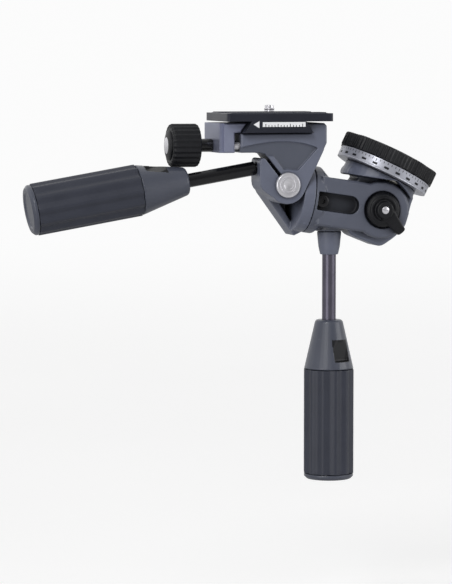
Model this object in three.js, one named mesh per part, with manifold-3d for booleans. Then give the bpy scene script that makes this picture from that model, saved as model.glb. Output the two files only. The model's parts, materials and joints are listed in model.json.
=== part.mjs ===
// Three-way pan tilt head, hung from its base as on a tilted column. Millimetres, +Z up.
// The origin is the centre of the base's seat. The viewer stands on the -Y side.
import * as THREE from 'three';
import { mergeVertices } from 'three/addons/utils/BufferGeometryUtils.js';
import Module from 'manifold-3d';

const wasm = await Module();
wasm.setup();
const rad = THREE.MathUtils.degToRad;

// Angles of the rest position, in degrees
const panLean = 26.3;
const armDip = 8.5;
const neckLean = 25.5;
const handleDroop = 9.8;
const slotAngle = 128.5;

// Clearances
const gap = 0.3;
const runGap = 0.4;
const over = 2;

// Base and pan bearing
const seatRadius = 24;
const seatThickness = 3;
const hubRadius = 16;
const hubDepth = 14.8;
const spindleRadius = 6;
const spindleDepth = 27.4;
const spindleTip = 1;
const spindlePinRadius = 1.5;
const insertRadius = 7.3;
const insertDepth = 7.2;
const insertBore = 4.2;
const lockRingRadius = 30;
const lockRingLobe = 1.3;
const lockRingLobes = 10;
const lockRingThickness = 8.2;
const lockRingDrop = 0.6;
const lockRingEdge = 1;
const scaleRingRadius = 28;
const scaleRingEdge = 0.6;
const neckTop = 15.3;
const washerRadius = 15;
const washerThickness = 1.4;

// Pan housing
const housingRadius = 22;
const housingThickness = 18.4;
const housingFoot = 53.8;
const housingEdge = 1.2;
const housingCorner = 3;
const lugAngles = [145, 180, 215, 248, 301, 329, 355];
const lugShares = [1, 1, 1, 1, 1, 0.88, 0.9];

// Arm and its hinge
const hingeOffset = 4.4;
const hingeDrop = 34.2;
const hingeBoltRadius = 4;
const hingeHeadRadius = 7.6;
const hingeHeadThickness = 4.6;
const hingeBoltEndGap = 1;
const hingeWasherRadius = 13;
const hingeWasherThickness = 0.7;
const eyeRadius = 16.8;
const armDepth = 34;
const armEdge = 1.2;
const armWaist = 14.2;
const slotRadius = 23;
const swivelReach = 41.1;
const flangeRadius = 19.5;
const flangeLength = 5;
const flangeTaper = 6;
const pocketFrom = 14.1;
const pocketTo = 39.6;
const pocketHeight = 10.6;
const pocketDepth = 5;
const pocketScrewReach = 35.8;
const pocketScrewHead = 3.5;
const pocketScrewHeadHeight = 3.2;
const pocketScrewRadius = 1.5;
const recessDepth = 2.2;

// Lever knob on the hinge
const leverRadius = 10;
const leverThickness = 6.4;
const leverEdge = 1.2;
const leverHubRadius = 5;
const leverHubHeight = 2;
const leverReach = 17.2;
const leverTipRadius = 2.9;
const leverWingThickness = 3.9;
const leverAngle = -42;
const leverScrewRadius = 2.1;

// Swivel axle and bracket
const swivelAxleRadius = 7;
const swivelAxleEnd = 25.8;
const swivelSeatDepth = 4;
const grooveWidth = 4;
const grooveDepth = 1.6;
const swivelWasherRadius = 14;
const swivelWasherThickness = 0.9;
const bracketReach = 18.2;
const axleRise = 6.3;
const bracketEyeRadius = 10;
const bracketDepth = 17.6;
const strapFoot = 30.2;
const strapFootOffset = 9.6;
const strapThickness = 4.6;
const bracketPlateThickness = 6.7;
const notchDepth = 15;
const tiltAxleRadius = 4;
const tiltCapRadius = 7.2;
const tiltCapThickness = 2;
const tiltCapEdge = 0.8;
const tiltNutRadius = 7;
const tiltNutThickness = 3.6;

// Platform
const neckRadius = 11;
const neckDepth = 19.6;
const clampFloor = 29.5;
const clampUnder = 18.5;
const clampDepth = 39.2;
const clampRight = 23.6;
const clampLeft = 27.6;
const clampEdge = 0.8;
const clampJawTop = 35.3;
const bossLeft = 16.3;
const bossTop = 15.4;
const bossCorner = 3.5;
const slotWidth = 1.8;
const reliefDepth = 1.6;
const reliefBorder = 3.6;
const reliefFoot = 8.4;
const reliefEnds = 21;
const reliefCrown = 25;
const reliefRight = 18;

// Dovetail, jaw and plate
const dovetailCentre = -6.5;
const dovetailWidth = 41.4;
const dovetailTopWidth = 32.4;
const dovetailHeight = 6.5;
const plateLength = 63;
const plateDepth = 50;
const plateThickness = 4.6;
const plateShift = -5.4;
const plateCorner = 3;
const padThickness = 1.2;
const padDepth = 14;
const padInset = 3;
const jawThickness = 8.5;
const jawOpening = 3.4;
const jawDepth = 38;
const jawCorner = 3;
const guidePinRadius = 2.2;
const guidePinSpacing = 28;
const guidePinLength = 22;
const cameraScrewRadius = 3.1;
const cameraScrewHead = 8;
const cameraScrewHeadHeight = 3;
const cameraScrewRise = 4.7;
const cameraSlotWidth = 1.2;

// Clamp screw and knob
const clampScrewHeight = 22.5;
const clampScrewRadius = 3;
const clampShaftRadius = 3.8;
const clampShaftLength = 8.7;
const clampScrewReach = 32;
const knobRadius = 12.4;
const knobLength = 16.5;
const knobWall = 2;
const knobCorner = 2.4;
const knobRibs = 20;
const knobRibHeight = 0.7;
const knobCapRadius = 8.6;
const knobCapHeight = 1.8;

// Handles
const rodRadius = 4;
const rodThreadRadius = 3;
const rodInGrip = 26;
const gripLength = 93;
const gripRadius = 14.8;
const gripNoseRadius = 7.6;
const gripTaper = 28.6;
const gripCoreRadius = 12;
const gripFlutes = 12;
const gripFluteDepth = 0.8;
const gripCapThickness = 3;
const gripCapEdge = 1;
const thumbWidth = 10;
const thumbLength = 12;
const thumbDepth = 2;
const thumbPlaceShare = 0.62;
const thumbReachShare = 0.5;
const lowerHandleReach = 27.2;
const lowerHandleBoss = 8.4;
const lowerHandleSeat = 16.6;
const lowerThumbAngle = 293;
const leftThumbAngle = 195;
const collarLength = 13.4;
const collarRadius = 6.6;
const collarFlare = 0.4;
const lowerGripStart = 68.3;
const brakePadThickness = 2;
const leftHandleOffset = 12.2;
const leftHandleLayer = 10;
const leftThreadReach = 8;
const leftGripStart = 55.7;

// Smoothness of round pieces, in steps, and counts of sides
const fineSteps = 36;
const roundSteps = 24;
const smallSteps = 14;
const arcSteps = 3;
const eyeSteps = 10;
const waveSteps = 4;
const domeSteps = 5;
const hexSides = 6;
const nutSides = 12;
const cornerSides = 4;
const mostCornerShare = 0.45;
const weld = 1e-4;

// Finishes
const finish = (color, roughness, metalness) =>
  new THREE.MeshStandardMaterial({ color, roughness, metalness });
const castAlloy = finish(0x555a66, 0.5, 0.3);
const blackPlastic = finish(0x17181c, 0.5, 0);
const gripPlastic = finish(0x35383f, 0.55, 0);
const gripRubber = finish(0x303339, 0.75, 0);
const blackSteel = finish(0x141417, 0.3, 0.6);
const brightSteel = finish(0xc9c9cc, 0.3, 0.9);
const greyAlloy = finish(0x8f94a6, 0.4, 0.5);
const ringAlloy = finish(0x9a9ca3, 0.45, 0.5);
const darkAlloy = finish(0x2c2e35, 0.45, 0.4);
const whiteNylon = finish(0xd8d8d2, 0.6, 0);
const brass = finish(0xb08d4a, 0.4, 0.8);

// A closed three.js shape as a solid that can be joined and cut
function toSolid(geometry) {
  geometry.deleteAttribute('normal');
  geometry.deleteAttribute('uv');
  const merged = mergeVertices(geometry, weld);
  const corners = merged.index.array;
  const triangles = [];
  for (let i = 0; i < corners.length; i += 3) {
    const [a, b, c] = corners.slice(i, i + 3);
    if (a !== b && b !== c && c !== a) triangles.push(a, b, c);
  }
  return new wasm.Manifold(new wasm.Mesh({
    numProp: 3,
    vertProperties: new Float32Array(merged.attributes.position.array),
    triVerts: new Uint32Array(triangles),
  }));
}

function fromSolid(solid) {
  const mesh = solid.getMesh();
  const geometry = new THREE.BufferGeometry();
  geometry.setAttribute('position', new THREE.BufferAttribute(new Float32Array(mesh.vertProperties), 3));
  geometry.setIndex(new THREE.BufferAttribute(new Uint32Array(mesh.triVerts), 1));
  return geometry;
}

function join(first, ...others) {
  return fromSolid(others.reduce((sum, next) => sum.add(toSolid(next)), toSolid(first)));
}

function cut(first, ...tools) {
  return fromSolid(tools.reduce((rest, tool) => rest.subtract(toSolid(tool)), toSolid(first)));
}

function common(first, second) {
  return fromSolid(toSolid(first).intersect(toSolid(second)));
}

function piece(group, name, material, shape) {
  const geometry = fromSolid(toSolid(shape));
  geometry.computeVertexNormals();
  const mesh = new THREE.Mesh(geometry, material);
  mesh.name = name;
  group.add(mesh);
  return mesh;
}

// Round solid about Z from [radius, height] points, taken anticlockwise
function turned(profile, steps = fineSteps) {
  const points = profile.map(([radius, height]) => new THREE.Vector2(radius, height));
  if (profile[0][0] > 0) points.push(points[0].clone());
  return new THREE.LatheGeometry(points, steps).rotateX(Math.PI / 2);
}

const bar = (radius, from, to, steps = roundSteps) =>
  turned([[0, from], [radius, from], [radius, to], [0, to]], steps);
const ring = (inner, outer, from, to, steps = fineSteps) =>
  turned([[inner, from], [outer, from], [outer, to], [inner, to]], steps);
const alongX = (geometry) => geometry.rotateY(Math.PI / 2);
const alongY = (geometry) => geometry.rotateX(-Math.PI / 2);
const block = (x, y, z) =>
  new THREE.BoxGeometry(x[1] - x[0], y[1] - y[0], z[1] - z[0])
    .translate((x[0] + x[1]) / 2, (y[0] + y[1]) / 2, (z[0] + z[1]) / 2);

// Flat outline with its corners rounded
function outline(points, corner = 0) {
  const shape = new THREE.Shape();
  const places = points.map(([x, y]) => new THREE.Vector2(x, y));
  places.forEach((place, i) => {
    const before = places.at(i - 1);
    const after = places[(i + 1) % places.length];
    const share = (end) => Math.min(corner / place.distanceTo(end), mostCornerShare);
    const start = place.clone().lerp(before, share(before));
    const stop = place.clone().lerp(after, share(after));
    if (i === 0) shape.moveTo(start.x, start.y);
    else shape.lineTo(start.x, start.y);
    if (corner > 0) shape.quadraticCurveTo(place.x, place.y, stop.x, stop.y);
  });
  shape.closePath();
  return shape;
}

// Slab with a shape drawn in X and Z, from one Y to another, its edges broken
function slab(shape, from, to, edge = 0, steps = arcSteps) {
  const geometry = new THREE.ExtrudeGeometry(shape, {
    depth: to - from - 2 * edge,
    bevelEnabled: edge > 0,
    bevelThickness: edge,
    bevelSize: edge,
    bevelOffset: -edge,
    bevelSegments: 1,
    curveSegments: steps,
  });
  return geometry.rotateX(Math.PI / 2).translate(0, to - edge, 0);
}

const disc = (radius) => new THREE.Shape().absarc(0, 0, radius, 0, 2 * Math.PI);

// Outline of a knob or grip that waves in and out around its rim
function wavedOutline(radius, depth, waves, bore) {
  const shape = new THREE.Shape();
  const count = waves * waveSteps;
  for (let i = 0; i < count; i += 1) {
    const angle = (2 * Math.PI * i) / count;
    const reach = radius - depth * (0.5 - 0.5 * Math.cos(waves * angle));
    if (i === 0) shape.moveTo(reach, 0);
    else shape.lineTo(reach * Math.cos(angle), reach * Math.sin(angle));
  }
  shape.closePath();
  if (bore) shape.holes.push(new THREE.Path().absarc(0, 0, bore, 0, 2 * Math.PI, true));
  return shape;
}

// The same outline as a length about Z, its rims broken
function wavedBar(radius, depth, waves, bore, from, to, edge) {
  const blank = new THREE.ExtrudeGeometry(wavedOutline(radius, depth, waves, bore), {
    depth: to - from,
    bevelEnabled: false,
    curveSegments: smallSteps,
  }).translate(0, 0, from);
  const core = bore ? bore - over : 0;
  const rim = [
    [core, from],
    [radius - edge, from],
    [radius + over, from + edge + over],
    [radius + over, to - edge - over],
    [radius - edge, to],
    [core, to],
  ];
  return edge ? common(blank, turned(rim)) : blank;
}

const frame = (parent, x, y, z, turn) => {
  const group = new THREE.Group();
  group.position.set(x, y, z);
  group.rotation.y = rad(turn);
  parent.add(group);
  return group;
};

const head = new THREE.Group();
const panFrame = frame(head, 0, 0, 0, panLean);
const armFrame = frame(panFrame, hingeOffset, 0, -hingeDrop, armDip - panLean);
const bracketFrame = frame(armFrame, -(swivelReach + bracketReach), 0, axleRise, 0);
const platformFrame = frame(bracketFrame, 0, 0, 0, -armDip);

// Layers from front to back
const halfArm = armDepth / 2;
const halfHousing = housingThickness / 2;
const eyeInner = halfHousing + hingeWasherThickness + gap;
const neckFront = -neckDepth - runGap / 2;
const bracketBack = bracketDepth + runGap / 2;

function buildBase() {
  const pocket = insertRadius + gap;
  const grooveRadius = spindleRadius - spindlePinRadius;
  const pinRoom = spindlePinRadius + gap / 2;
  const pinHeight = spindleDepth - spindleTip - pinRoom;
  piece(panFrame, 'base_plate', darkAlloy, turned([
    [0, -spindleDepth],
    [spindleRadius, -spindleDepth],
    [spindleRadius, -pinHeight - pinRoom],
    [grooveRadius, -pinHeight - pinRoom],
    [grooveRadius, -pinHeight + pinRoom],
    [spindleRadius, -pinHeight + pinRoom],
    [spindleRadius, -hubDepth],
    [hubRadius, -hubDepth],
    [hubRadius, -seatThickness],
    [seatRadius, -seatThickness],
    [seatRadius, 0],
    [pocket, 0],
    [pocket, -insertDepth - gap],
    [0, -insertDepth - gap],
  ]));
  piece(panFrame, 'thread_insert', brass, ring(insertBore, insertRadius, -insertDepth, -gap, roundSteps));

  const lockFoot = lockRingDrop + lockRingThickness;
  piece(panFrame, 'pan_lock_ring', blackPlastic, cut(
    wavedBar(lockRingRadius, lockRingLobe, lockRingLobes, 0, -lockFoot, -lockRingDrop, lockRingEdge),
    bar(hubRadius + gap, -lockFoot - over, over, fineSteps),
    bar(seatRadius + gap, -seatThickness - gap, over, fineSteps),
  ));
  const ringTop = lockFoot + gap;
  piece(panFrame, 'pan_scale_ring', ringAlloy, turned([
    [hubRadius + gap, -neckTop + gap],
    [scaleRingRadius - scaleRingEdge, -neckTop + gap],
    [scaleRingRadius, -neckTop + gap + scaleRingEdge],
    [scaleRingRadius, -ringTop],
    [hubRadius + gap, -ringTop],
  ]));
  const washerTop = hubDepth + gap;
  piece(panFrame, 'pan_washer', whiteNylon,
    ring(spindleRadius + gap, washerRadius, -washerTop - washerThickness, -washerTop));
  buildHousing(pinHeight, washerTop + washerThickness + gap);
}

// The housing: a round neck, cut to let the arm's eyes pass, and a lug between them
function buildHousing(pinHeight, recessFloor) {
  const clear = eyeRadius + 2 * runGap;
  const closed = rad(panLean - armDip);
  const side = (angle, x) =>
    [x, -hingeDrop + (clear - (x - hingeOffset) * Math.sin(angle)) / Math.cos(angle)];
  const neckSide = outline([
    [-housingRadius - over, over],
    side(-closed, -housingRadius - over),
    side(closed, hingeOffset),
    side(closed, housingRadius + over),
    [housingRadius + over, over],
  ]);
  const neck = common(
    slab(neckSide, -housingRadius - over, housingRadius + over),
    bar(housingRadius, -housingFoot, -neckTop, fineSteps),
  );
  const reach = slotRadius - 2 * runGap;
  const around = lugAngles.map((degrees, i) => [
    hingeOffset + reach * lugShares[i] * Math.cos(rad(degrees)),
    reach * lugShares[i] * Math.sin(rad(degrees)) - hingeDrop,
  ]);
  const lugTop = -recessFloor - housingEdge;
  const lugHalf = housingRadius - housingEdge / 2;
  const lower = ([x, z]) => [x, z - 2 * gap];
  const lugSide = outline([
    [-lugHalf, lugTop],
    lower(side(-closed, -lugHalf)),
    ...around,
    lower(side(closed, lugHalf)),
    [lugHalf, lugTop],
  ], housingCorner);
  const hingeBore = alongY(bar(hingeBoltRadius + gap, -armDepth, armDepth, smallSteps));
  const pinBore = alongY(bar(spindlePinRadius + gap / 2, -armDepth, armDepth, smallSteps));
  const pinX = spindleRadius + gap / 2;
  piece(panFrame, 'pan_housing', castAlloy, cut(
    join(neck, slab(lugSide, -halfHousing, halfHousing, housingEdge)),
    bar(washerRadius + gap, -recessFloor, over, fineSteps),
    bar(spindleRadius + gap, -spindleDepth - gap, over),
    hingeBore.translate(hingeOffset, 0, -hingeDrop),
    pinBore.translate(pinX, 0, -pinHeight),
  ));
  const pinReach = halfHousing - gap;
  piece(panFrame, 'spindle_pin', brightSteel,
    alongY(bar(spindlePinRadius, -pinReach, pinReach, smallSteps)).translate(pinX, 0, -pinHeight));
}

function buildArm() {
  const half = armWaist;
  const flangeStart = -swivelReach + flangeLength;
  const body = join(
    slab(disc(eyeRadius), -halfArm, halfArm, armEdge, eyeSteps),
    slab(outline([
      [flangeStart - over, -half],
      [-eyeRadius / 2, -half],
      [-eyeRadius / 2, half],
      [flangeStart - over, half],
    ]), -halfArm, halfArm, armEdge),
    alongX(turned([
      [0, -swivelReach],
      [flangeRadius, -swivelReach],
      [flangeRadius, flangeStart],
      [half, flangeStart + flangeTaper],
      [0, flangeStart + flangeTaper],
    ])),
    bar(lowerHandleBoss, -lowerHandleSeat, 0)
      .rotateY(rad(-armDip)).translate(-lowerHandleReach, 0, 0),
  );
  const pocketEnd = pocketHeight / 2;
  const pocket = new THREE.Shape();
  pocket.moveTo(-pocketTo, -pocketEnd);
  pocket.lineTo(-pocketFrom - pocketEnd, -pocketEnd);
  pocket.absarc(-pocketFrom - pocketEnd, 0, pocketEnd, -Math.PI / 2, Math.PI / 2);
  pocket.lineTo(-pocketTo, pocketEnd);
  pocket.closePath();
  const pocketFloor = -halfArm + pocketDepth;
  const handleBore = bar(rodThreadRadius + gap, -armDepth, 0, smallSteps);
  piece(armFrame, 'arm', castAlloy, cut(
    body,
    alongY(bar(slotRadius, -eyeInner, eyeInner, fineSteps)),
    alongY(bar(hingeBoltRadius + gap, -armDepth, armDepth, smallSteps)),
    alongY(bar(leverRadius + 2 * runGap, -armDepth, -halfArm + recessDepth)),
    alongY(bar(hingeHeadRadius + runGap, halfArm - recessDepth, armDepth)),
    alongX(bar(swivelAxleRadius + gap, -armDepth - swivelReach, -swivelAxleEnd + gap)),
    slab(pocket, -armDepth, pocketFloor, 0, eyeSteps),
    alongY(bar(pocketScrewRadius + gap, -halfArm, 0, smallSteps)).translate(-pocketScrewReach, 0, 0),
    handleBore.rotateY(rad(-armDip)).translate(-lowerHandleReach, 0, 0),
  ));

  const headBack = halfArm - recessDepth + gap;
  const tip = halfArm + leverThickness - recessDepth - gap - hingeBoltEndGap;
  piece(armFrame, 'hinge_bolt', blackSteel, join(
    alongY(bar(hingeBoltRadius, -tip, headBack + over, smallSteps)),
    alongY(bar(hingeHeadRadius, headBack, headBack + hingeHeadThickness, hexSides)),
  ));
  const washerNear = halfHousing + gap / 2;
  for (const [name, low] of [['rear', washerNear], ['front', -washerNear - hingeWasherThickness]]) {
    piece(armFrame, `hinge_washer_${name}`, whiteNylon,
      alongY(ring(hingeBoltRadius + gap, hingeWasherRadius, low, low + hingeWasherThickness, roundSteps)));
  }
  const screwSeat = pocketFloor - gap;
  const screwTip = -swivelAxleRadius + grooveDepth - gap;
  piece(armFrame, 'pocket_screw', blackSteel, cut(
    join(
      alongY(bar(pocketScrewHead, screwSeat - pocketScrewHeadHeight, screwSeat, smallSteps)),
      alongY(bar(pocketScrewRadius, screwSeat - over / 2, screwTip, smallSteps)),
    ),
    alongY(bar(pocketScrewHead / 2, -halfArm, screwSeat - pocketScrewHeadHeight / 2, hexSides)),
  ).translate(-pocketScrewReach, 0, 0));
}

function buildLever() {
  const back = -halfArm + recessDepth - gap;
  const front = back - leverThickness;
  const wing = slab(outline([
    [0, -leverHubRadius],
    [leverReach - leverTipRadius, -leverTipRadius],
    [leverReach, -leverTipRadius],
    [leverReach, leverTipRadius],
    [leverReach - leverTipRadius, leverTipRadius],
    [0, leverHubRadius],
  ], leverTipRadius), front, front + leverWingThickness, leverEdge / 2);
  const hub = alongY(turned([
    [0, front - leverHubHeight],
    [leverHubRadius - leverEdge / 2, front - leverHubHeight],
    [leverHubRadius, front - leverHubHeight + leverEdge / 2],
    [leverHubRadius, front + leverEdge],
    [leverRadius - leverEdge, front + leverEdge],
    [leverRadius, front + 2 * leverEdge],
    [leverRadius, back],
    [0, back],
  ], roundSteps));
  const screwBore = leverScrewRadius + gap / 2;
  piece(armFrame, 'lever_knob', blackPlastic, cut(
    join(hub, wing.rotateY(rad(-leverAngle))),
    alongY(bar(hingeBoltRadius + gap / 2, front + 2 * gap, armDepth, smallSteps)),
    alongY(bar(screwBore, -armDepth, 0, smallSteps)),
  ));
  const screwTip = front - leverHubHeight - gap;
  piece(armFrame, 'lever_screw', brightSteel,
    alongY(bar(leverScrewRadius, screwTip, front + gap, smallSteps)));
}

// The bracket: a plate that faces the arm, and a strap and web behind the neck up to the tilt axle
function buildBracket() {
  const faceDistance = neckRadius + runGap;
  const tall = 2 * strapFoot;
  const plateFace = bracketReach - gap;
  const wedge = slab(outline([
    [faceDistance, -tall],
    [faceDistance + tall, -tall],
    [faceDistance + tall, tall],
    [faceDistance, tall],
  ]), -tall, tall).rotateY(rad(neckLean));
  const plate = common(
    tipped(bar(flangeRadius, plateFace - bracketPlateThickness, plateFace, fineSteps)),
    wedge,
  );
  const eyeCorner = rad(30);
  const lean = Math.atan2(strapFootOffset + bracketEyeRadius, strapFoot);
  const shoulder = [-bracketEyeRadius * Math.cos(lean), -bracketEyeRadius * Math.sin(lean)];
  const level = (x, z) => [x * Math.cos(rad(armDip)) + z * Math.sin(rad(armDip)),
    z * Math.cos(rad(armDip)) - x * Math.sin(rad(armDip))];
  const webSide = outline([
    shoulder,
    [strapFootOffset, -strapFoot],
    level(plateFace, -axleRise - flangeRadius),
    level(plateFace, bracketEyeRadius / 2),
    [bracketEyeRadius * Math.sin(eyeCorner), bracketEyeRadius * Math.cos(eyeCorner)],
    [0, 0],
  ]);
  const inward = [Math.cos(lean), Math.sin(lean)];
  const along = [Math.sin(lean), -Math.cos(lean)];
  const strapPoint = (down, across) => [
    shoulder[0] + along[0] * down + inward[0] * across,
    shoulder[1] + along[1] * down + inward[1] * across,
  ];
  // The hollow between strap and plate: down the strap's inner side to where it meets the plate
  const towardsPlate = ([x, z]) => x * Math.cos(rad(armDip)) - z * Math.sin(rad(armDip));
  const hollowTop = strapPoint(0, strapThickness);
  const hollowDown =
    (plateFace - bracketPlateThickness - towardsPlate(hollowTop)) / towardsPlate(along);
  const notch = outline([
    strapPoint(bracketEyeRadius, strapThickness),
    strapPoint(hollowDown, strapThickness),
    level(plateFace - bracketPlateThickness, -bracketEyeRadius / 2),
  ], 1);
  const layer = runGap / 2;
  piece(platformFrame, 'v_bracket', castAlloy, cut(
    join(
      plate,
      cut(
        join(
          slab(disc(bracketEyeRadius), layer, bracketBack, 0, eyeSteps),
          slab(webSide, layer, bracketBack),
        ),
        slab(notch, layer - over, layer + notchDepth),
      ),
    ),
    alongY(bar(tiltAxleRadius + gap, -armDepth, armDepth, smallSteps)),
    tipped(bar(swivelAxleRadius + gap / 2, bracketReach - swivelSeatDepth, bracketReach + over)),
    tipped(bar(swivelWasherRadius + gap, plateFace - swivelWasherThickness, bracketReach + over)),
  ));
  piece(bracketFrame, 'swivel_washer', whiteNylon, alongX(ring(
    swivelAxleRadius + gap,
    swivelWasherRadius,
    plateFace - swivelWasherThickness + gap / 2,
    bracketReach - gap / 2,
  )).translate(0, 0, -axleRise));

  const total = bracketReach + swivelReach;
  const groove = total - pocketScrewReach;
  const grooveRadius = swivelAxleRadius - grooveDepth;
  piece(bracketFrame, 'swivel_axle', brightSteel, alongX(turned([
    [0, bracketReach - swivelSeatDepth + gap],
    [swivelAxleRadius, bracketReach - swivelSeatDepth + gap],
    [swivelAxleRadius, groove - grooveWidth / 2],
    [grooveRadius, groove - grooveWidth / 2],
    [grooveRadius, groove + grooveWidth / 2],
    [swivelAxleRadius, groove + grooveWidth / 2],
    [swivelAxleRadius, total - swivelAxleEnd],
    [0, total - swivelAxleEnd],
  ], roundSteps)).translate(0, 0, -axleRise));

  const capBack = neckFront - gap;
  piece(bracketFrame, 'tilt_cap', brightSteel, alongY(turned([
    [0, capBack - tiltCapThickness],
    [tiltCapRadius - tiltCapEdge, capBack - tiltCapThickness],
    [tiltCapRadius, capBack - tiltCapThickness + tiltCapEdge],
    [tiltCapRadius, capBack],
    [0, capBack],
  ], roundSteps)));
  const nutFront = bracketBack + gap;
  piece(bracketFrame, 'tilt_axle', brightSteel,
    alongY(bar(tiltAxleRadius, capBack + gap, nutFront + tiltNutThickness, smallSteps)));
  piece(bracketFrame, 'tilt_nut', blackSteel, alongY(ring(
    tiltAxleRadius + gap / 2,
    tiltNutRadius,
    nutFront,
    nutFront + tiltNutThickness,
    nutSides,
  )));
}

// A length about Z laid along the swivel axis, in the platform's level frame
function tipped(geometry) {
  return alongX(geometry).translate(0, 0, -axleRise).rotateY(rad(armDip));
}

// Dovetail, narrower upwards, and the jaws' faces beside it
const dovetailFoot = clampFloor + gap;
const dovetailTop = dovetailFoot + dovetailHeight;
const flankShare = (dovetailWidth - dovetailTopWidth) / 2 / dovetailHeight;
const flank = (z) => dovetailWidth / 2 - (z - dovetailFoot) * flankShare;
const halfClamp = clampDepth / 2;
const halfJaw = jawDepth / 2;
const clampScrewTip = clampScrewReach - clampLeft;
const jawRight = -clampLeft - jawOpening;
const jawLeft = jawRight - jawThickness;
const handleFoot = [
  -leftHandleOffset * Math.sin(rad(handleDroop)),
  leftHandleOffset * Math.cos(rad(handleDroop)),
];

function buildPlatform() {
  const edgeNormal = [Math.cos(rad(neckLean)), -Math.sin(rad(neckLean))];
  const edgeUp = [Math.sin(rad(neckLean)), Math.cos(rad(neckLean))];
  const slotUp = [Math.cos(rad(slotAngle)), Math.sin(rad(slotAngle))];
  const slotSide = [Math.sin(rad(slotAngle)), -Math.cos(rad(slotAngle))];
  // Where a line from a point in a direction reaches a height
  const reachHeight = (from, direction, height) => {
    const steps = (height - from[1]) / direction[1];
    return [from[0] + direction[0] * steps, height];
  };
  const inset = (direction, distance) => [direction[0] * distance, direction[1] * distance];
  const jawFace = (z) => [dovetailCentre + flank(z) + runGap, z];
  const neckEdge = inset(edgeNormal, neckRadius);
  const clampSide = outline([
    [-clampLeft, clampUnder],
    reachHeight(neckEdge, edgeUp, clampUnder),
    [clampRight, neckEdge[1] + (edgeUp[1] * (clampRight - neckEdge[0])) / edgeUp[0]],
    [clampRight, clampJawTop - 2 * clampEdge],
    [clampRight - 2 * clampEdge, clampJawTop],
    jawFace(clampJawTop),
    jawFace(clampFloor),
    [-clampLeft, clampFloor],
  ]);
  const neckHeight = clampUnder + clampEdge + over / 2;
  const neckSide = outline([
    neckEdge,
    reachHeight(neckEdge, edgeUp, neckHeight),
    reachHeight([0, 0], slotUp, neckHeight),
    [0, 0],
  ]);
  const bossSide = outline([
    [0, 0],
    reachHeight([0, 0], slotUp, bossTop),
    [-bossLeft, bossTop],
    [-bossLeft, -bossCorner / 2],
    [-neckRadius * Math.SQRT1_2, -neckRadius * Math.SQRT1_2],
  ], bossCorner);
  const neckBack = -runGap / 2;
  // A shallow panel on the front, under an arch that runs out to the clamp's left end
  const leftInset = inset(slotSide, reliefBorder);
  const panel = new THREE.Shape();
  panel.moveTo(...reachHeight(leftInset, slotUp, reliefFoot));
  panel.lineTo(leftInset[0] + reliefBorder, reliefFoot);
  panel.lineTo(reliefRight, reliefEnds);
  panel.quadraticCurveTo(0, 2 * reliefCrown - reliefEnds, -clampLeft - over, reliefEnds);
  panel.lineTo(-clampLeft - over, clampUnder - over);
  panel.lineTo(...reachHeight(leftInset, slotUp, clampUnder - over));
  panel.closePath();
  const relief = cut(
    slab(panel, neckFront - over, neckFront + reliefDepth, 0, eyeSteps),
    alongY(bar(tiltCapRadius + reliefBorder / 2, -armDepth, 0)),
  );
  const slotReach = (clampUnder - slotWidth / 2) / Math.sin(rad(slotAngle));
  const slot = block([0, slotReach], [-armDepth, over], [-slotWidth / 2, slotWidth / 2]);
  const threadBore = bar(rodThreadRadius + gap, -gripLength, leftThreadReach + gap, smallSteps)
    .rotateY(rad(90 - handleDroop)).translate(handleFoot[0], -leftHandleLayer, handleFoot[1]);
  const pinBore = (hand) =>
    alongX(bar(guidePinRadius + gap, -clampLeft - over, jawLeft + guidePinLength + gap, smallSteps))
      .translate(0, (hand * guidePinSpacing) / 2, clampScrewHeight);
  piece(platformFrame, 'platform', castAlloy, cut(
    join(
      slab(clampSide, -halfClamp, halfClamp, clampEdge),
      slab(neckSide, neckFront, neckBack),
      slab(bossSide, neckFront, neckBack),
      slab(disc(neckRadius), neckFront, neckBack, 0, eyeSteps),
    ),
    relief,
    slot.rotateY(rad(-slotAngle)),
    alongY(bar(tiltAxleRadius + gap, -armDepth, armDepth, smallSteps)),
    threadBore,
    alongX(bar(clampScrewRadius + gap, -clampLeft - over, clampScrewTip + gap, smallSteps))
      .translate(0, 0, clampScrewHeight),
    pinBore(1),
    pinBore(-1),
  ));
}

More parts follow.
